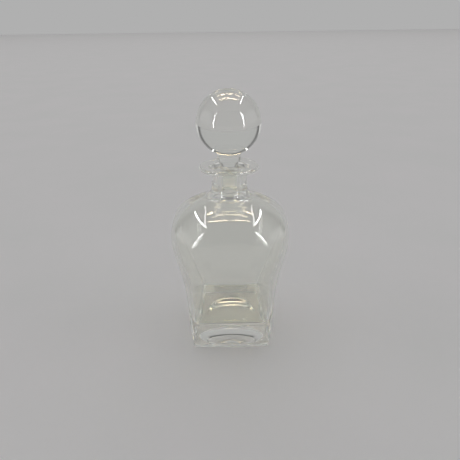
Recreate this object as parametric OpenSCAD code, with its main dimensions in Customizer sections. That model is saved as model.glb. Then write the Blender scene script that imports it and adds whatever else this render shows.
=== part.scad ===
// Square spirit decanter in clear crystal, with a ball stopper.
// Two pieces of glass: the bottle, blown in one with its neck and lip, and the stopper that lifts out.
// The frame is the bottle's own: origin at the centre of the foot, +Z up the neck, flats facing X and Y.

/* [Foot] */
// Width of the square foot across its flats
foot_w = 74; // [70:1:76]
// Corner radius of the foot
foot_corner_r = 4; // [3:0.5:6]
// Rounding where the sides meet the resting face
foot_edge_r = 1.2; // [0.6:0.2:1.8]
// Thickness of the solid glass under the cavity
floor_z = 27; // [24:1:30]
// Diameter of the shallow hollow in the underside
punt_d = 64; // [56:1:66]
// Depth of the hollow in the underside
punt_depth = 4.2; // [2:0.2:5]

/* [Body] */
// Width across the flats at the widest height
body_w = 108; // [104:1:112]
// Height of the widest section
body_z = 112.6; // [109:0.2:114]
// Corner radius at the widest section
body_corner_r = 34; // [31:1:40]
// Wall thickness at the widest section
body_wall = 3.4; // [3:0.2:4.4]
// Wall thickness at the cavity floor
floor_wall = 4.8; // [4:0.2:6]

/* [Neck and lip] */
// Outside diameter of the neck
neck_d = 32; // [30:0.5:33]
// Height of the top of the lip
lip_z = 173; // [171:0.5:175]
// Diameter of the lip
lip_d = 54; // [50:0.5:56]
// Thickness of the lip at its edge
lip_t = 3.4; // [2.8:0.2:4]
// Diameter of the mouth, where the seat meets the top of the lip
mouth_d = 15.4; // [15.2:0.1:16]

/* [Stopper] */
// Height of the whole decanter, to the top of the ball
total_h = 240; // [236:0.5:242]
// Diameter of the ball
ball_d = 57.6; // [54:0.2:60]
// Diameter of the stem between ball and seat
stem_d = 21.6; // [20:0.2:23]
// Height of the underside of the stem
stem_z = 178.6; // [177.5:0.1:180]
// Diameter of the ground plug at its top, where the seat cone begins
plug_d = 14.2; // [14:0.1:14.6]
// Height of the lower end of the plug
plug_z = 152.5; // [151:0.5:156]

/* [Hidden] */
$fn = 96;

// ---- finishes ----
clear_glass = [0.83, 0.87, 0.85, 0.4];
ground_glass = [0.90, 0.92, 0.91, 0.5];

// ---- smoothness of the lofted shapes ----
corner_steps = 10; // sides round one corner
edge_steps = 3; // rings round one rounded edge
side_steps = 14; // rings up the side
shoulder_steps = 12; // rings over the shoulder
fillet_steps = 6; // bands round one turned fillet
join_step = 0.2; // how far a turned shape stands proud of the lofted one where they join
least_flat = 0.3; // half the flat left at the roundest sections, so that no side of a ring vanishes

// ---- outside of the body: half widths against heights ----
neck_r = neck_d / 2;
wide_r = body_w / 2;
shoulder_slope = 23.5; // degrees above level where the shoulder runs into the neck
neck_fillet_r = 12; // hollow curve between shoulder and neck
shoulder_end_r = neck_r + neck_fillet_r * (1 - sin(shoulder_slope));
shoulder_end_z = 143.5;
side_curve = [[foot_w / 2, 0], [foot_w / 2 + 4.9, 75.2], [wide_r, body_z - 25.6], [wide_r, body_z]];
shoulder_curve = [
    [wide_r, body_z],
    [wide_r, body_z + 22],
    [shoulder_end_r + 14, shoulder_end_z - 14 * tan(shoulder_slope)],
    [shoulder_end_r, shoulder_end_z]
];

// ---- ground joint: seat cone in the mouth, and the tapered plug under it ----
plug_r = plug_d / 2;
fit_gap = 0.08; // radial gap of the ground joint
seat_top_r = mouth_d / 2 - fit_gap; // stopper's cone at the level of the lip
seat_slope = (stem_d / 2 - seat_top_r) / (stem_z - lip_z); // run over rise of the seat cone
seat_low_z = lip_z - (seat_top_r - plug_r) / seat_slope;
taper = 0.02; // run over rise of the ground plug
plug_low_r = plug_r - taper * (seat_low_z - plug_z);
bore_foot_r = plug_low_r + fit_gap;

// ---- inside of the body ----
floor_edge_r = 2; // hollow curve between cavity floor and walls
floor_flare = 2.3; // how much wider each side is at the cavity floor than at the foot
floor_corner_r = 4.5; // corner radius of the cavity at its floor
funnel_slope = 22; // degrees above level where the cavity runs into the neck
funnel_r = 5; // rounding of the glass where the cavity turns up into the bore
funnel_end_r = bore_foot_r + funnel_r * (1 - sin(funnel_slope));
funnel_end_z = 145.4;
inner_wide_r = wide_r - body_wall;
inner_floor_r = foot_w / 2 + floor_flare - floor_wall;
inner_side_curve = [
    [inner_floor_r, floor_z],
    [inner_floor_r + 4.7, floor_z + 46.7],
    [inner_wide_r, body_z - 24],
    [inner_wide_r, body_z]
];
inner_shoulder_curve = [
    [inner_wide_r, body_z],
    [inner_wide_r, body_z + 20],
    [funnel_end_r + 15, funnel_end_z - 15 * tan(funnel_slope)],
    [funnel_end_r, funnel_end_z]
];

// ---- how the square section turns round: corner radius against height ----
corner_start_z = 25; // corners keep the foot's radius up to here
corner_wide_z = 98; // corners reach their widest radius here
round_z = 146; // the section is a full circle from here up

// ---- punt: a shallow dome in the underside, with a soft rim ----
punt_r = punt_d / 2;
punt_rim_r = 25; // rounding of the glass between the dome and the resting face

// ---- stopper ----
ball_r = ball_d / 2;
ball_z = total_h - ball_r;
stem_r = stem_d / 2;

function bezier(p, t) =
    pow(1 - t, 3) * p[0] + 3 * pow(1 - t, 2) * t * p[1] + 3 * (1 - t) * t * t * p[2] + pow(t, 3) * p[3];

function ease_out(t) = let (c = min(max(t, 0), 1)) 1 - (1 - c) * (1 - c);

function ease(t) = let (c = min(max(t, 0), 1)) c * c * (3 - 2 * c);

// Corner radius of a section that starts as first_r at low_z, grows to wide_corner_r and ends as a circle.
function corner_radius(half_w, z, first_r, wide_corner_r, low_z) =
    let (
        growing = first_r + (wide_corner_r - first_r) * ease_out((z - low_z) / (corner_wide_z - low_z)),
        closing = ease((z - corner_wide_z) / (round_z - corner_wide_z)),
        r = z < corner_wide_z ? growing : wide_corner_r + (half_w - wide_corner_r) * closing
    )
    min(r, half_w - least_flat);

// One level of a lofted shape: a square with round corners, as half width, height and corner radius.
function level(p, first_r, wide_corner_r, low_z) =
    [p[0], p[1], corner_radius(p[0], p[1], first_r, wide_corner_r, low_z)];

// The levels round the lower edge, where the section draws in by edge_r.
function edge_levels(p, edge_r, first_r) = [
    for (i = [0:edge_steps - 1])
        let (a = 90 * i / edge_steps, inset = edge_r * (1 - sin(a)))
        [p[0] - inset, p[1] + edge_r * (1 - cos(a)), first_r - inset]
];

function curve_levels(p, from_t, steps, first_r, wide_corner_r, low_z) = [
    for (i = [0:steps]) level(bezier(p, from_t + (1 - from_t) * i / steps), first_r, wide_corner_r, low_z)
];

function tail(levels) = [for (i = [1:len(levels) - 1]) levels[i]];

function outer_levels() = concat(
    edge_levels(side_curve[0], foot_edge_r, foot_corner_r),
    curve_levels(side_curve, 0.006, side_steps, foot_corner_r, body_corner_r, corner_start_z),
    tail(curve_levels(shoulder_curve, 0, shoulder_steps, foot_corner_r, body_corner_r, corner_start_z))
);

function inner_levels() = concat(
    edge_levels(inner_side_curve[0], floor_edge_r, floor_corner_r),
    curve_levels(inner_side_curve, 0.026, side_steps, floor_corner_r, body_corner_r - 1, floor_z),
    tail(curve_levels(inner_shoulder_curve, 0, shoulder_steps, floor_corner_r, body_corner_r - 1, floor_z))
);

function ring_points(l) = [
    for (q = [0:3], i = [0:corner_steps])
        let (
            a = 90 * (q + i / corner_steps),
            centre = l[0] - l[2],
            side_x = q == 0 || q == 3 ? 1 : -1,
            side_y = q < 2 ? 1 : -1
        )
        [side_x * centre + l[2] * cos(a), side_y * centre + l[2] * sin(a), l[1]]
];

module loft(levels) {
    n = 4 * (corner_steps + 1);
    top = (len(levels) - 1) * n;
    points = [for (l = levels) each ring_points(l)];
    sides = [
        for (k = [0:len(levels) - 2], i = [0:n - 1])
            let (a = k * n + i, b = k * n + (i + 1) % n)
            each [[a, a + n, b + n], [a, b + n, b]]
    ];
    ends = [[for (i = [0:n - 1]) i], [for (i = [n - 1:-1:0]) top + i]];
    polyhedron(points = points, faces = concat(sides, ends), convexity = 4);
}

// Points of a round edge or fillet about centre c, from one angle to another.
function arc(c, r, from_a, to_a, steps) = [
    for (i = [0:steps]) let (a = from_a + (to_a - from_a) * i / steps) c + r * [cos(a), sin(a)]
];

// ---- bottle: foot, body, shoulder, neck and lip, blown in one glass ----
module neck_and_lip() {
    lip_r = lip_d / 2;
    edge_r = lip_t / 2 - 0.1;
    under_r = 3; // fillet under the lip
    lip_low_z = lip_z - lip_t;
    inside_z = shoulder_end_z - 6; // well inside the glass of the shoulder
    skirt_r = shoulder_end_r + 0.7;
    skirt_z = shoulder_end_z - 0.7 * tan(shoulder_slope) + join_step;
    fillet_centre = [
        neck_r + neck_fillet_r,
        shoulder_end_z + join_step + neck_fillet_r * cos(shoulder_slope)
    ];
    rotate_extrude()
        polygon(concat(
            [[0, inside_z], [skirt_r, inside_z], [skirt_r, skirt_z]],
            arc(fillet_centre, neck_fillet_r, 270 - shoulder_slope, 180, fillet_steps),
            arc([neck_r + under_r, lip_low_z - under_r], under_r, 180, 90, fillet_steps),
            arc([lip_r - edge_r, lip_low_z + edge_r], edge_r, -90, 0, fillet_steps),
            arc([lip_r - edge_r, lip_z - edge_r], edge_r, 0, 90, fillet_steps),
            [[0, lip_z]]
        ));
}

// The air inside the neck: funnel, ground bore and the conical seat in the mouth.
module neck_bore() {
    inside_z = funnel_end_z - 5; // well inside the cavity
    skirt_r = funnel_end_r + 0.9;
    skirt_z = funnel_end_z - 0.9 * tan(funnel_slope) + join_step;
    funnel_centre = [
        bore_foot_r + funnel_r,
        funnel_end_z + join_step + funnel_r * cos(funnel_slope)
    ];
    over = 1; // runs past the lip
    rotate_extrude()
        polygon(concat(
            [[0, inside_z], [skirt_r, inside_z], [skirt_r, skirt_z]],
            arc(funnel_centre, funnel_r, 270 - funnel_slope, 180, fillet_steps),
            [
                [bore_foot_r, plug_z],
                [plug_r + fit_gap, seat_low_z],
                [mouth_d / 2 + over * seat_slope, lip_z + over],
                [0, lip_z + over]
            ]
        ));
}

// The air under the foot: a dome that runs out tangentially into the resting face.
module punt() {
    bends_r = (punt_r * punt_r + punt_depth * punt_depth) / (2 * punt_depth);
    sweep = asin(punt_r / bends_r);
    dome_r = bends_r - punt_rim_r;
    below = 2; // runs past the resting face
    sunk = 0.02; // set this much low, so that the rim crosses the resting face instead of brushing it
    translate([0, 0, -sunk])
        rotate_extrude()
            polygon(concat(
                [[0, -below], [punt_r, -below]],
                arc([punt_r, punt_rim_r], punt_rim_r, 270, 270 - sweep, fillet_steps),
                arc([0, punt_depth - dome_r], dome_r, 90 - sweep, 90, fillet_steps)
            ));
}

module bottle() color(clear_glass) difference() {
    union() {
        loft(outer_levels());
        neck_and_lip();
    }
    loft(inner_levels());
    neck_bore();
    punt();
}

// ---- stopper: ball, stem, seat cone and ground plug, in one glass ----
module stopper() color(ground_glass) {
    ease_r = 0.8; // rounding at the end of the plug
    root_r = 2; // fillet where the stem runs into the ball
    root_z = ball_z - sqrt((ball_r + root_r) * (ball_r + root_r) - (stem_r + root_r) * (stem_r + root_r));
    inside_z = ball_z - ball_r + 6; // well inside the ball
    union() {
        translate([0, 0, ball_z]) sphere(ball_r);
        rotate_extrude()
            polygon(concat(
                [[0, plug_z]],
                arc([plug_low_r - ease_r, plug_z + ease_r], ease_r, -90, 0, fillet_steps),
                [[plug_r, seat_low_z], [stem_r, stem_z]],
                arc([stem_r + root_r, root_z], root_r, 180, 130, fillet_steps),
                [[stem_r, inside_z], [0, inside_z]]
            ));
    }
}

bottle();
stopper();
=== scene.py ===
import logging
import math
from dataclasses import dataclass, field
from enum import Enum

import bpy
from mathutils import Matrix, Vector
from mathutils.kdtree import KDTree

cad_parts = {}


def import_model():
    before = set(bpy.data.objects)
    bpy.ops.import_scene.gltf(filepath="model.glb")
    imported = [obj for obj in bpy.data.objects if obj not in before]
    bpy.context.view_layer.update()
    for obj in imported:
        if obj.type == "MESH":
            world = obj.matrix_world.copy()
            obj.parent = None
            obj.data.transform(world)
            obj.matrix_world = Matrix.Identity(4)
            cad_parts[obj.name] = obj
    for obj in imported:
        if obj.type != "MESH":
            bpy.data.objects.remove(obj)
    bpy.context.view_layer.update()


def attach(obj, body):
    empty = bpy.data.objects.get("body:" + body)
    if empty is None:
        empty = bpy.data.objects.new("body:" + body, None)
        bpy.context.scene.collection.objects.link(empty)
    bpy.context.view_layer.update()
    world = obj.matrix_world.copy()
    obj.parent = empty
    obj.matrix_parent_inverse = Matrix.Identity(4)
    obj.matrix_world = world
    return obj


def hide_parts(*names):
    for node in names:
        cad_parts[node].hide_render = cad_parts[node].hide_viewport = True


LOG = logging.getLogger("decanter")
MM = 0.001  # one millimetre in scene units

Colour = tuple[float, float, float, float]
Pair = tuple[float, float]


def linear(code: str) -> Colour:
    """Turn an sRGB hex colour into the linear colour that shaders use.

    Args:
        code: six hex digits, with or without a leading hash.

    Returns:
        Linear red, green and blue, with an alpha of one.
    """
    digits = code.lstrip("#")
    parts = [int(digits[i : i + 2], 16) / 255 for i in (0, 2, 4)]
    red, green, blue = (
        p / 12.92 if p <= 0.04045 else ((p + 0.055) / 1.055) ** 2.4 for p in parts
    )
    return red, green, blue, 1.0


def add_node(tree: bpy.types.NodeTree, kind: str, settings: dict, links: dict) -> bpy.types.Node:
    """Add one node with its settings and its incoming links.

    Args:
        tree: the node tree that gets the node.
        kind: the node's type name.
        settings: attribute or input socket names, and their values.
        links: input socket names, and the output sockets that feed them.

    Returns:
        The new node.
    """
    node = tree.nodes.new(kind)
    for name, value in settings.items():
        if isinstance(name, str) and hasattr(node, name):
            setattr(node, name, value)
        else:
            node.inputs[name].default_value = value
    for name, source in links.items():
        tree.links.new(source, node.inputs[name])
    return node


def ease(t: float) -> float:
    """Return a smooth step from 0 to 1 for t from 0 to 1."""
    c = min(max(t, 0.0), 1.0)
    return c * c * (3 - 2 * c)


def mix(a: float, b: float, t: float) -> float:
    """Return the value a share t of the way from a to b."""
    return a + (b - a) * t


# --------------------------------------------------------------------------------------
# Outlines: half a section of a turned or moulded glass shape, in millimetres
# --------------------------------------------------------------------------------------


@dataclass(frozen=True)
class Station:
    """One point of an outline: a half width, a height and the corner radius of the section there."""

    half_width: float
    height: float
    corner: float


def bezier(points: list[Pair], t: float) -> Pair:
    """Return the point at t on a cubic curve with four control points.

    Args:
        points: the four control points.
        t: the place along the curve, from 0 to 1.

    Returns:
        Half width and height.
    """
    weights = ((1 - t) ** 3, 3 * (1 - t) ** 2 * t, 3 * (1 - t) * t * t, t**3)
    return (
        sum(w * p[0] for w, p in zip(weights, points)),
        sum(w * p[1] for w, p in zip(weights, points)),
    )


def curve(points: list[Pair], start: float, steps: int) -> list[Pair]:
    """Return steps + 1 points along a cubic curve, from start to its end."""
    return [bezier(points, mix(start, 1.0, i / steps)) for i in range(steps + 1)]


def arc(centre: Pair, radius: float, start: float, end: float, steps: int) -> list[Pair]:
    """Return points round part of a circle.

    Args:
        centre: the circle's centre.
        radius: its radius.
        start: the first angle in degrees, from the direction of growing half width.
        end: the last angle in degrees.
        steps: how many steps lie between them.

    Returns:
        The points, both ends included.
    """
    angles = [math.radians(mix(start, end, i / steps)) for i in range(steps + 1)]
    return [(centre[0] + radius * math.cos(a), centre[1] + radius * math.sin(a)) for a in angles]


def line(start: Pair, end: Pair, steps: int) -> list[Pair]:
    """Return the points between two ends, the first end left out and the last one kept."""
    return [
        (mix(start[0], end[0], i / steps), mix(start[1], end[1], i / steps))
        for i in range(1, steps + 1)
    ]


# --------------------------------------------------------------------------------------
# Finishes
# --------------------------------------------------------------------------------------


@dataclass(frozen=True)
class Crystal:
    """Clear lead-free crystal: colourless to the eye, grey-green only through its thickest parts.

    Attributes:
        name: the material's name.
        clear: colour of the surface where it is cleanest.
        wiped: colour where a cloth has left the faintest film.
        depth: colour that white light turns to on its way through the glass.
        density: how strongly depth tells, per metre of glass.
        ior: bending power of the glass.
        polish: roughness of the fire-polished surface.
        film: extra roughness where the film lies.
        wave_mm: distance between the slow waves left by blowing.
        wave_height_mm: height of those waves.
        film_mm: size of one patch of the film.
        film_from: noise value at which the film starts.
        film_full: noise value at which it is at its thickest.
    """

    name: str
    clear: str = "#FEFFFC"
    wiped: str = "#FCFDF9"
    depth: str = "#F6F8EC"
    density: float = 0.6
    ior: float = 1.52
    polish: float = 0.0
    film: float = 0.002
    wave_mm: float = 26.0
    wave_height_mm: float = 0.004
    film_mm: float = 20.0
    film_from: float = 0.45
    film_full: float = 0.75

    def build(self) -> bpy.types.Material:
        """Return the finish as a node material."""
        material = bpy.data.materials.new(self.name)
        material.use_nodes = True
        tree = material.node_tree
        tree.nodes.clear()
        place = add_node(tree, "ShaderNodeTexCoord", {}, {})
        # slow waves of blown glass, which make reflections wander a little
        wave = add_node(
            tree,
            "ShaderNodeTexNoise",
            {"Scale": 1 / (self.wave_mm * MM), "Detail": 1.0, "Roughness": 0.4},
            {"Vector": place.outputs["Object"]},
        )
        bump = add_node(
            tree,
            "ShaderNodeBump",
            {"Strength": 1.0, "Distance": self.wave_height_mm * MM},
            {"Height": wave.outputs["Fac"]},
        )
        # the film that a polishing cloth leaves, in patches
        film = add_node(
            tree,
            "ShaderNodeTexNoise",
            {"Scale": 1 / (self.film_mm * MM), "Detail": 5.0, "Roughness": 0.6},
            {"Vector": place.outputs["Object"]},
        )
        dulling = add_node(
            tree,
            "ShaderNodeMapRange",
            {
                "From Min": self.film_from,
                "From Max": self.film_full,
                "To Min": self.polish,
                "To Max": self.polish + self.film,
            },
            {"Value": film.outputs["Fac"]},
        )
        tint = add_node(
            tree,
            "ShaderNodeMix",
            {"data_type": "RGBA", 6: linear(self.clear), 7: linear(self.wiped)},
            {0: film.outputs["Fac"]},
        )
        glass = add_node(
            tree,
            "ShaderNodeBsdfPrincipled",
            {"IOR": self.ior, "Transmission Weight": 1.0},
            {
                "Base Color": tint.outputs[2],
                "Roughness": dulling.outputs["Result"],
                "Normal": bump.outputs["Normal"],
            },
        )
        body = add_node(
            tree,
            "ShaderNodeVolumeAbsorption",
            {"Color": linear(self.depth), "Density": self.density},
            {},
        )
        add_node(
            tree,
            "ShaderNodeOutputMaterial",
            {},
            {"Surface": glass.outputs["BSDF"], "Volume": body.outputs["Volume"]},
        )
        return material


@dataclass(frozen=True)
class BackgroundPaper:
    """Matt pale grey background paper with a faint mottle.

    Attributes:
        name: the material's name.
        light: colour of the paper.
        shade: colour of its faint mottle.
        mottle_mm: size of one patch of the mottle.
    """

    name: str
    light: str = "#F4F1F2"
    shade: str = "#EDEDEC"
    mottle_mm: float = 140.0

    def build(self) -> bpy.types.Material:
        """Return the finish as a node material."""
        material = bpy.data.materials.new(self.name)
        material.use_nodes = True
        tree = material.node_tree
        tree.nodes.clear()
        place = add_node(tree, "ShaderNodeTexCoord", {}, {})
        mottle = add_node(
            tree,
            "ShaderNodeTexNoise",
            {"Scale": 1 / (self.mottle_mm * MM), "Detail": 3.0},
            {"Vector": place.outputs["Object"]},
        )
        colour = add_node(
            tree,
            "ShaderNodeMix",
            {"data_type": "RGBA", 6: linear(self.light), 7: linear(self.shade)},
            {0: mottle.outputs["Fac"]},
        )
        paper = add_node(
            tree,
            "ShaderNodeBsdfPrincipled",
            {"Roughness": 0.9, "Specular IOR Level": 0.1},
            {"Base Color": colour.outputs[2]},
        )
        add_node(tree, "ShaderNodeOutputMaterial", {}, {"Surface": paper.outputs["BSDF"]})
        return material


# --------------------------------------------------------------------------------------
# Glass-maker's bench: spin a blank from an outline, then press it in a square mould
# --------------------------------------------------------------------------------------


@dataclass
class Bench:
    """Turns outlines into closed meshes.

    Attributes:
        merge: points closer than this are one point.
        corner_share: how much more closely points lie round a corner than along a flat.
    """

    merge: float = 0.001 * MM
    corner_share: float = 3.0

    def wire(self, name: str, points: list[Pair]) -> bpy.types.Object:
        """Draw an outline in the XZ plane by extruding one point along it.

        Args:
            name: the new object's name.
            points: half widths and heights in millimetres.

        Returns:
            The object, left in edit mode with all of it selected.
        """
        if bpy.context.object and bpy.context.object.mode != "OBJECT":
            bpy.ops.object.mode_set(mode="OBJECT")
        bpy.ops.object.select_all(action="DESELECT")
        first = points[0]
        bpy.ops.mesh.primitive_plane_add(size=MM, location=(0, 0, 0))
        blank = bpy.context.object
        blank.name = blank.data.name = name
        bpy.ops.object.mode_set(mode="EDIT")
        bpy.ops.mesh.select_all(action="SELECT")
        bpy.ops.mesh.merge(type="CENTER")
        bpy.ops.transform.translate(value=(first[0] * MM, 0, first[1] * MM))
        for before, after in zip(points, points[1:]):
            step = ((after[0] - before[0]) * MM, 0, (after[1] - before[1]) * MM)
            bpy.ops.mesh.extrude_vertices_move(TRANSFORM_OT_translate={"value": step})
        bpy.ops.mesh.select_all(action="SELECT")
        return blank

    def spin(self, name: str, points: list[Pair], steps: int) -> bpy.types.Object:
        """Spin an outline that starts and ends on the axis into a closed solid.

        Args:
            name: the new object's name.
            points: half widths and heights in millimetres.
            steps: how many sides a full turn has.

        Returns:
            The object, in object mode.
        """
        blank = self.wire(name, points)
        bpy.ops.mesh.spin(
            steps=steps, angle=math.tau, center=(0, 0, 0), axis=(0, 0, 1), use_auto_merge=True
        )
        bpy.ops.mesh.select_all(action="SELECT")
        bpy.ops.mesh.remove_doubles(threshold=self.merge)
        bpy.ops.mesh.normals_make_consistent(inside=False)
        bpy.ops.object.mode_set(mode="OBJECT")
        return blank

    def press(self, blank: bpy.types.Object, stations: list[Station]) -> None:
        """Press a spun blank outwards into a mould whose section is a square with round corners.

        Args:
            blank: the spun blank.
            stations: the outline's points, each with the corner radius of the mould there.
        """
        tree = KDTree(len(stations))
        for index, s in enumerate(stations):
            tree.insert((s.half_width * MM, s.height * MM, 0), index)
        tree.balance()
        for vertex in blank.data.vertices:
            x, y, z = vertex.co
            radius = math.hypot(x, y)
            _, index, _ = tree.find((radius, z, 0))
            corner = min(stations[index].corner * MM, radius)
            if radius > self.merge and corner < radius:
                vertex.co.x, vertex.co.y = self.on_section(radius, corner, math.atan2(y, x))

    def on_section(self, half: float, corner: float, turn: float) -> Pair:
        """Return the point of a round-cornered square that a direction round the axis stands for.

        Args:
            half: half the width across the flats.
            corner: the corner radius.
            turn: the direction in radians.

        Returns:
            X and Y of the point.
        """
        quarter = round(turn / (math.pi / 2))
        local = turn - quarter * math.pi / 2
        flat = half - corner
        bend = corner * math.pi / 4
        reach = abs(local) / (math.pi / 4) * (flat + self.corner_share * bend)
        if reach <= flat:
            across, along = half, reach
        else:
            a = (reach - flat) / (self.corner_share * corner)
            across, along = flat + corner * math.cos(a), flat + corner * math.sin(a)
        along = math.copysign(along, local)
        c, s = math.cos(quarter * math.pi / 2), math.sin(quarter * math.pi / 2)
        return across * c - along * s, across * s + along * c

    def smooth(self, piece: bpy.types.Object) -> None:
        """Shade a finished piece smooth all over."""
        bpy.ops.object.select_all(action="DESELECT")
        piece.select_set(True)
        bpy.context.view_layer.objects.active = piece
        bpy.ops.object.shade_smooth()


# --------------------------------------------------------------------------------------
# The decanter's two pieces of glass
# --------------------------------------------------------------------------------------


@dataclass
class GroundJoint:
    """Sizes shared by the stopper and the mouth it sits in, in millimetres."""

    stem_r: float = 10.8
    stem_z: float = 178.6  # underside of the stem
    mouth_r: float = 7.7
    plug_r: float = 7.1  # at the top of the plug
    plug_z: float = 152.5  # lower end of the plug
    taper: float = 0.02  # run over rise of the plug
    gap: float = 0.08  # all round, between the ground faces
    lip_z: float = 173.0  # top of the lip

    @property
    def seat_slope(self) -> float:
        """Run over rise of the seat cone."""
        return (self.stem_r - self.mouth_r + self.gap) / (self.stem_z - self.lip_z)

    @property
    def seat_low_z(self) -> float:
        """Height where the seat cone ends and the plug begins."""
        return self.lip_z - (self.mouth_r - self.gap - self.plug_r) / self.seat_slope

    @property
    def plug_low_r(self) -> float:
        """Radius of the plug's lower end."""
        return self.plug_r - self.taper * (self.seat_low_z - self.plug_z)


@dataclass
class Bottle:
    """Foot, body, shoulder, neck and lip, blown in one glass. Sizes are in millimetres."""

    joint: GroundJoint
    bench: Bench
    node: str = "bottle"
    body: str = "decanter_body"
    foot: float = 37.0  # half the width of the foot
    foot_corner: float = 4.0
    foot_edge: float = 1.2
    punt_r: float = 32.0
    punt_depth: float = 4.2
    punt_rim: float = 25.0  # rounding between the punt's dome and the resting face
    side_pull: Pair = (4.9, 75.2)  # from the foot to the curve's handle up the side
    wide: float = 54.0  # half the width at the widest height
    wide_z: float = 112.6
    wide_corner: float = 34.0
    wide_pull_down: float = 25.6  # handle of the side's curve below the widest height
    wide_pull_up: float = 22.0  # handle of the shoulder's curve above it
    wall: float = 3.4
    floor_z: float = 27.0
    floor: float = 34.5  # half the width of the cavity at its floor
    floor_edge: float = 2.0
    floor_corner: float = 4.5
    floor_pull: Pair = (4.7, 46.7)  # from the floor to the curve's handle up the inside
    inner_pull_down: float = 24.0
    inner_pull_up: float = 20.0
    neck_r: float = 16.0
    neck_fillet: float = 12.0
    slope: float = 23.5  # degrees above level where the shoulder meets the neck's fillet
    shoulder_z: float = 143.5
    shoulder_pull: float = 14.0
    funnel: float = 5.0  # rounding where the cavity turns up into the bore
    funnel_slope: float = 22.0
    funnel_z: float = 145.4
    funnel_pull: float = 15.0
    corners_open_z: float = 25.0  # corners keep the foot's radius up to here
    corners_wide_z: float = 98.0  # corners are at their widest radius here
    circle_z: float = 146.0  # the section is a circle from here up
    outer_start: float = 0.012  # share of the side's curve that the foot's edge takes up
    inner_start: float = 0.026  # share of the inner side's curve that the floor's edge takes up
    lip_r: float = 27.0
    lip_t: float = 3.4
    lip_flat: float = 0.2  # height of the flat between the lip's two round edges
    lip_fillet: float = 3.0
    turn_steps: int = 256

    def corner(self, half: float, z: float, first: float, widest: float, low: float) -> float:
        """Return the mould's corner radius at a height.

        Args:
            half: half width of the section.
            z: its height.
            first: corner radius at the bottom.
            widest: corner radius where the corners are fully round.
            low: height where the corners start to open.

        Returns:
            The corner radius, at most the half width.
        """
        if z < self.corners_wide_z:
            share = min(max((z - low) / (self.corners_wide_z - low), 0.0), 1.0)
            radius = mix(first, widest, 1 - (1 - share) ** 2)
        else:
            closing = (z - self.corners_wide_z) / (self.circle_z - self.corners_wide_z)
            radius = mix(widest, half, ease(closing))
        return min(radius, half)

    def underside(self) -> list[Station]:
        """Return the punt, the flat border round it and the rounded edge of the foot."""
        bends = (self.punt_r**2 + self.punt_depth**2) / (2 * self.punt_depth)
        sweep = math.degrees(math.asin(self.punt_r / bends))
        dome_r = bends - self.punt_rim
        dome = arc((0, self.punt_depth - dome_r), dome_r, 90, 90 - sweep, steps=20)
        dome += arc((self.punt_r, self.punt_rim), self.punt_rim, 270 - sweep, 270, steps=10)[1:]
        rim = self.foot - self.foot_edge
        border = line((self.punt_r, 0), (rim, 0), steps=8)
        edge = arc((rim, self.foot_edge), self.foot_edge, -90, 0, steps=8)
        inner_corner = self.foot_corner - self.foot_edge
        stations = [Station(r, z, r) for r, z in dome]
        for r, z in border:
            share = ease((r - self.punt_r) / (rim - self.punt_r))
            stations.append(Station(r, z, mix(r, inner_corner, share)))
        stations += [Station(r, z, inner_corner + r - rim) for r, z in edge[1:]]
        return stations

    def outside(self) -> list[Station]:
        """Return the outside of the body, from the foot's edge to the foot of the neck."""
        end_r = self.neck_r + self.neck_fillet * (1 - math.sin(math.radians(self.slope)))
        rise = math.tan(math.radians(self.slope))
        side = [
            (self.foot, 0),
            (self.foot + self.side_pull[0], self.side_pull[1]),
            (self.wide, self.wide_z - self.wide_pull_down),
            (self.wide, self.wide_z),
        ]
        shoulder = [
            (self.wide, self.wide_z),
            (self.wide, self.wide_z + self.wide_pull_up),
            (end_r + self.shoulder_pull, self.shoulder_z - self.shoulder_pull * rise),
            (end_r, self.shoulder_z),
        ]
        points = curve(side, self.outer_start, steps=44) + curve(shoulder, 0, steps=44)[1:]
        return [
            Station(r, z, self.corner(r, z, self.foot_corner, self.wide_corner, self.corners_open_z))
            for r, z in points
        ]

    def neck(self) -> list[Station]:
        """Return the outside of the neck and the lip, up to the mouth."""
        lip_z, low_z = self.joint.lip_z, self.joint.lip_z - self.lip_t
        edge = (self.lip_t - self.lip_flat) / 2
        foot_centre = (
            self.neck_r + self.neck_fillet,
            self.shoulder_z + self.neck_fillet * math.cos(math.radians(self.slope)),
        )
        points = arc(foot_centre, self.neck_fillet, 270 - self.slope, 180, steps=14)[1:]
        points += line(points[-1], (self.neck_r, low_z - self.lip_fillet), steps=8)
        under_centre = (self.neck_r + self.lip_fillet, low_z - self.lip_fillet)
        points += arc(under_centre, self.lip_fillet, 180, 90, steps=10)[1:]
        points += line(points[-1], (self.lip_r - edge, low_z), steps=6)
        points += arc((self.lip_r - edge, low_z + edge), edge, -90, 0, steps=8)[1:]
        points += arc((self.lip_r - edge, lip_z - edge), edge, 0, 90, steps=8)
        points += line(points[-1], (self.joint.mouth_r, lip_z), steps=10)
        return [Station(r, z, r) for r, z in points]

    def bore(self) -> list[Station]:
        """Return the seat in the mouth, the ground bore and the funnel under it."""
        joint = self.joint
        foot_r = joint.plug_low_r + joint.gap
        centre_z = self.funnel_z + self.funnel * math.cos(math.radians(self.funnel_slope))
        points = line((joint.mouth_r, joint.lip_z), (joint.plug_r + joint.gap, joint.seat_low_z), steps=4)
        points += line(points[-1], (foot_r, joint.plug_z), steps=8)
        points += line(points[-1], (foot_r, centre_z), steps=2)
        centre = (foot_r + self.funnel, centre_z)
        points += arc(centre, self.funnel, 180, 270 - self.funnel_slope, steps=10)[1:]
        return [Station(r, z, r) for r, z in points]

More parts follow.
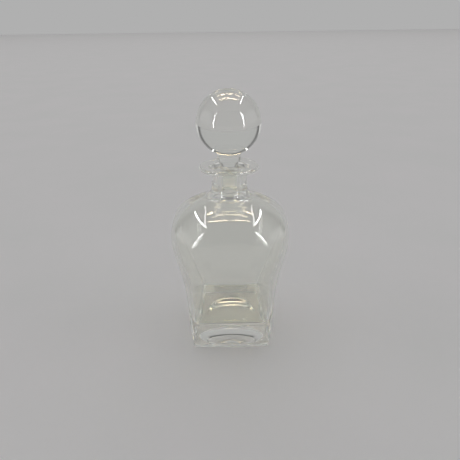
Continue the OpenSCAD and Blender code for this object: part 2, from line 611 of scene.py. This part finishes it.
    def inside(self) -> list[Station]:
        """Return the cavity, from the funnel down to the middle of its floor."""
        slope = math.radians(self.funnel_slope)
        end_r = self.joint.plug_low_r + self.joint.gap + self.funnel * (1 - math.sin(slope))
        wide = self.wide - self.wall
        side = [
            (self.floor, self.floor_z),
            (self.floor + self.floor_pull[0], self.floor_z + self.floor_pull[1]),
            (wide, self.wide_z - self.inner_pull_down),
            (wide, self.wide_z),
        ]
        shoulder = [
            (wide, self.wide_z),
            (wide, self.wide_z + self.inner_pull_up),
            (end_r + self.funnel_pull, self.funnel_z - self.funnel_pull * math.tan(slope)),
            (end_r, self.funnel_z),
        ]
        points = curve(side, self.inner_start, steps=40) + curve(shoulder, 0, steps=40)[1:]
        stations = [
            Station(r, z, self.corner(r, z, self.floor_corner, self.wide_corner - 1, self.floor_z))
            for r, z in points
        ]
        stations.reverse()
        rim = self.floor - self.floor_edge
        rim_corner = self.floor_corner - self.floor_edge
        low = arc((rim, self.floor_z + self.floor_edge), self.floor_edge, 0, -90, steps=12)
        stations += [Station(r, z, rim_corner + r - rim) for r, z in low[1:]]
        floor = line((rim, self.floor_z), (0, self.floor_z), steps=14)
        stations += [Station(r, z, rim_corner * r / rim) for r, z in floor]
        return stations

    def build(self) -> bpy.types.Object:
        """Return the bottle as one closed piece of glass."""
        stations = self.underside() + self.outside() + self.neck() + self.bore() + self.inside()
        outline = [(s.half_width, s.height) for s in stations]
        piece = self.bench.spin("bottle_glass", outline, self.turn_steps)
        self.bench.press(piece, stations)
        self.bench.smooth(piece)
        return piece

    def dress(self, piece: bpy.types.Object, material: bpy.types.Material) -> None:
        """Give the bottle its glass and put it in place of its CAD node.

        Args:
            piece: the bottle.
            material: its glass.
        """
        piece.data.materials.append(material)
        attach(piece, self.body)
        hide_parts(self.node)


@dataclass
class Stopper:
    """Ball, stem, seat cone and ground plug in one glass. Sizes are in millimetres."""

    joint: GroundJoint
    bench: Bench
    node: str = "stopper"
    body: str = "stopper_body"
    ball_r: float = 28.8
    top_z: float = 240.0  # top of the ball
    root: float = 2.0  # fillet where the stem runs into the ball
    plug_edge: float = 0.8  # rounding at the lower end of the plug
    stem_edge: float = 0.5  # rounding at the lower end of the stem
    turn_steps: int = 192

    def outline(self) -> list[Pair]:
        """Return the stopper's outline from the middle of the plug's end to the top of the ball."""
        joint = self.joint
        low_r = joint.plug_low_r
        points = line((0, joint.plug_z), (low_r - self.plug_edge, joint.plug_z), steps=4)
        points.insert(0, (0, joint.plug_z))
        centre = (low_r - self.plug_edge, joint.plug_z + self.plug_edge)
        points += arc(centre, self.plug_edge, -90, 0, steps=6)[1:]
        points += line(points[-1], (joint.plug_r, joint.seat_low_z), steps=8)
        points += self.stem_corner(points[-1])
        ball_z = self.top_z - self.ball_r
        reach = self.ball_r + self.root
        root_r = joint.stem_r + self.root
        root_z = ball_z - math.sqrt(reach**2 - root_r**2)
        lean = math.degrees(math.atan2(ball_z - root_z, -root_r))
        points += line(points[-1], (joint.stem_r, root_z), steps=4)
        points += arc((root_r, root_z), self.root, 180, lean, steps=8)[1:]
        points += arc((0, ball_z), self.ball_r, lean - 180, 90, steps=110)[1:]
        return points

    def stem_corner(self, below: Pair) -> list[Pair]:
        """Return the cone from the plug up to the stem, with the stem's lower corner rounded.

        Args:
            below: the top of the plug.

        Returns:
            The points after below, up to the start of the straight stem.
        """
        joint = self.joint
        lean = math.degrees(math.atan2(joint.stem_z - joint.seat_low_z, joint.stem_r - joint.plug_r))
        setback = self.stem_edge * math.tan(math.radians((90 - lean) / 2))
        centre = (joint.stem_r - self.stem_edge, joint.stem_z + setback)
        corner = arc(centre, self.stem_edge, lean - 90, 0, steps=5)
        return line(below, corner[0], 6) + corner[1:]

    def build(self) -> bpy.types.Object:
        """Return the stopper as one closed piece of glass."""
        piece = self.bench.spin("stopper_glass", self.outline(), self.turn_steps)
        self.bench.smooth(piece)
        return piece

    def dress(self, piece: bpy.types.Object, material: bpy.types.Material) -> None:
        """Give the stopper its glass and put it in place of its CAD node.

        Args:
            piece: the stopper.
            material: its glass.
        """
        piece.data.materials.append(material)
        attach(piece, self.body)
        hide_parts(self.node)


# --------------------------------------------------------------------------------------
# Studio
# --------------------------------------------------------------------------------------


class Glow(Enum):
    """Colours of the tubes in the light box."""

    DAYLIGHT = "#FFFFFF"
    WARM = "#FFE9C4"


@dataclass(frozen=True)
class Tube:
    """One strip light, between two points in metres."""

    name: str
    start: tuple[float, float, float]
    end: tuple[float, float, float]
    glow: Glow
    radiance: float
    width: float = 0.034


@dataclass
class Studio:
    """A light box with flat paper, strip lights along its edges and the camera. Metres and degrees."""

    lit: bpy.types.Collection  # what the strip lights reach
    paper: bpy.types.Collection  # what the soft box reaches
    aim: tuple[float, float, float] = (0.0, 0.0, 0.12)
    camera_y: float = -0.4328
    camera_z: float = 0.2999
    pitch: float = 23.85
    roll: float = 0.75
    lens: float = 38.74
    sensor: float = 36.0
    paper_half: float = 8.0  # half the width of the paper
    paper_squares: int = 40  # how many squares its mesh has each way
    wash_size: float = 12.0
    wash_power: float = 121.0
    wash_y: float = 3.0
    wash_z: float = 3.0
    wall_from: float = 0.84  # how far sideways a direction points where the white walls start
    wall_blend: float = 0.05
    wall_glow: float = 0.8
    bounces: int = 96
    zones: tuple[tuple[float, str], ...] = (  # how far ahead a direction points, and the grey there
        (0.0, "#8C8C8C"),
        (0.46, "#7A7A7A"),
        (0.55, "#4C4C4C"),
        (0.61, "#4C4C4C"),
        (0.70, "#B0B0B0"),
    )
    tubes: list[Tube] = field(
        default_factory=lambda: [
            Tube("tube_left", (-0.75, -0.575, 0.08), (-0.75, -0.575, 0.99), Glow.DAYLIGHT, 42),
            Tube("tube_right", (0.75, -0.565, 0.10), (0.75, -0.565, 1.05), Glow.DAYLIGHT, 42),
            Tube("tube_back", (-0.40, 0.52, 1.10), (0.42, 0.52, 1.10), Glow.WARM, 34),
            Tube("tube_top", (-0.42, 0.125, 1.15), (0.45, 0.125, 1.15), Glow.WARM, 34),
            Tube("tube_side_left", (-0.75, 1.0, 1.15), (-0.62, -0.15, 1.2), Glow.DAYLIGHT, 42),
            Tube("tube_side_right", (0.66, 1.0, 1.2), (0.62, -0.09, 1.2), Glow.DAYLIGHT, 42),
        ]
    )

    def lay_paper(self) -> None:
        """Lay the background paper out flat, well past what the camera sees."""
        bpy.ops.object.select_all(action="DESELECT")
        bpy.ops.mesh.primitive_grid_add(
            x_subdivisions=self.paper_squares,
            y_subdivisions=self.paper_squares,
            size=2 * self.paper_half,
            location=(0, 0, 0),
        )
        sheet = bpy.context.object
        sheet.name = "background_paper"
        bpy.ops.object.shade_smooth()
        sheet.data.materials.append(BackgroundPaper("matt_grey_background_paper").build())
        self.paper.objects.link(sheet)

    def hang_tube(self, tube: Tube) -> None:
        """Hang one strip light so that it faces the decanter.

        Args:
            tube: the strip light.
        """
        start, end = Vector(tube.start), Vector(tube.end)
        middle, length = (start + end) / 2, (end - start).length
        along = (end - start).normalized()
        away = (middle - Vector(self.aim)).normalized()
        across = away.cross(along).normalized()
        away = along.cross(across)
        lamp = bpy.data.lights.new(tube.name, "AREA")
        lamp.shape = "RECTANGLE"
        lamp.size, lamp.size_y = length, tube.width
        lamp.color = linear(tube.glow.value)[:3]
        lamp.energy = tube.radiance * math.pi * length * tube.width
        light = bpy.data.objects.new(tube.name, lamp)
        turn = Matrix((along, across, away)).transposed().to_4x4()
        light.matrix_world = Matrix.Translation(middle) @ turn
        bpy.context.scene.collection.objects.link(light)
        light.light_linking.receiver_collection = self.lit

    def wash_paper(self) -> None:
        """Light the paper from overhead with a wide soft box, which throws the soft shadow of the glass."""
        lamp = bpy.data.lights.new("paper_wash", "AREA")
        lamp.shape = "SQUARE"
        lamp.size = self.wash_size
        lamp.energy = self.wash_power
        light = bpy.data.objects.new("paper_wash", lamp)
        light.location = (0, self.wash_y, self.wash_z)
        bpy.context.scene.collection.objects.link(light)
        light.light_linking.receiver_collection = self.paper

    def fill(self) -> None:
        """Set the soft light that comes from the walls of the light box."""
        world = bpy.data.worlds.new("light_box")
        bpy.context.scene.world = world
        world.use_nodes = True
        tree = world.node_tree
        tree.nodes.clear()
        place = add_node(tree, "ShaderNodeTexCoord", {}, {})
        split = add_node(tree, "ShaderNodeSeparateXYZ", {}, {"Vector": place.outputs["Generated"]})
        ramp = add_node(tree, "ShaderNodeValToRGB", {}, {"Fac": split.outputs["Y"]})
        stops = ramp.color_ramp.elements
        for stop, (ahead, shade) in zip(stops, (self.zones[0], self.zones[-1])):
            stop.position, stop.color = ahead, linear(shade)
        for ahead, shade in self.zones[1:-1]:
            stops.new(ahead).color = linear(shade)
        # white side walls, left and right of the dark gaps
        sideways = add_node(tree, "ShaderNodeMath", {"operation": "ABSOLUTE"}, {0: split.outputs["X"]})
        wall = add_node(
            tree,
            "ShaderNodeMapRange",
            {"From Min": self.wall_from, "From Max": self.wall_from + self.wall_blend},
            {"Value": sideways.outputs[0]},
        )
        walls = add_node(
            tree,
            "ShaderNodeMix",
            {"data_type": "RGBA", 7: (self.wall_glow, self.wall_glow, self.wall_glow, 1.0)},
            {0: wall.outputs["Result"], 6: ramp.outputs["Color"]},
        )
        glow = add_node(tree, "ShaderNodeBackground", {"Strength": 1.0}, {"Color": walls.outputs[2]})
        add_node(tree, "ShaderNodeOutputWorld", {}, {"Surface": glow.outputs["Background"]})

    def place_camera(self) -> None:
        """Place the camera in front of the decanter, looking down at it."""
        pitch, roll = math.radians(self.pitch), math.radians(self.roll)
        forward = Vector((0, math.cos(pitch), -math.sin(pitch)))
        right = Vector((1, 0, 0))
        up = right.cross(forward)
        c, s = math.cos(roll), math.sin(roll)
        turned_right, turned_up = c * right - s * up, c * up + s * right
        data = bpy.data.cameras.new("camera")
        data.lens, data.sensor_width = self.lens, self.sensor
        data.dof.use_dof = False
        camera = bpy.data.objects.new("camera", data)
        turn = Matrix((turned_right, turned_up, -forward)).transposed().to_4x4()
        camera.matrix_world = Matrix.Translation((0, self.camera_y, self.camera_z)) @ turn
        bpy.context.scene.collection.objects.link(camera)
        bpy.context.scene.camera = camera

    def build(self) -> None:
        """Set the whole studio up."""
        self.place_camera()
        self.lay_paper()
        for tube in self.tubes:
            self.hang_tube(tube)
        self.wash_paper()
        self.fill()
        scene = bpy.context.scene
        scene.view_settings.view_transform = "Standard"
        # light that runs round inside the walls of the glass needs many bounces to come out again
        scene.cycles.max_bounces = self.bounces
        scene.cycles.transmission_bounces = self.bounces
        scene.cycles.glossy_bounces = self.bounces


def main() -> None:
    """Build the decanter and its studio in order, and log each piece."""
    logging.basicConfig(level=logging.INFO, format="%(name)s: %(message)s")
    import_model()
    joint, bench = GroundJoint(), Bench()

    bottle = Bottle(joint, bench)
    bottle_piece = bottle.build()
    bottle.dress(bottle_piece, Crystal("clear_fire_polished_crystal").build())
    LOG.info("bottle: %d faces", len(bottle_piece.data.polygons))

    stopper = Stopper(joint, bench)
    stopper_piece = stopper.build()
    stopper.dress(stopper_piece, Crystal("clear_polished_crystal").build())
    LOG.info("stopper: %d faces", len(stopper_piece.data.polygons))

    lit = bpy.data.collections.new("lit_glass")
    for piece in (bottle_piece, stopper_piece):
        lit.objects.link(piece)
    Studio(lit, bpy.data.collections.new("lit_paper")).build()


if __name__ == "__main__":
    main()
